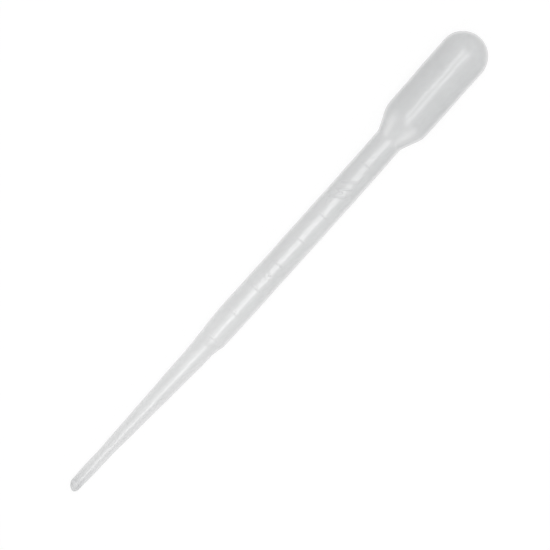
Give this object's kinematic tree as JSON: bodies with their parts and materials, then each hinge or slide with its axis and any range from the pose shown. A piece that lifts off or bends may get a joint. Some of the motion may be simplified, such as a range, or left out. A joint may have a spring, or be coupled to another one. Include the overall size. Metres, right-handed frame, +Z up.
{
  "type": "plastic dropper pipette",
  "caption": "Disposable dropper pipette: a squeeze bulb, a graduated barrel and a stem drawn down to a fine open tip, moulded in one piece.",
  "frame": {"origin": "on the surface that the pipette lies on, under the middle of its bounding box", "axes": "+X from the tip towards the bulb, +Z up from the surface, with the scale facing up; the pipette's own axis rises by 2.11 degrees towards the bulb"},
  "size_m": [0.15, 0.0124, 0.0131],
  "materials": {
    "milky_plastic": "satin"
  },
  "bodies": {
    "root": {"pipette": "milky_plastic"}
  },
  "joints": []
}
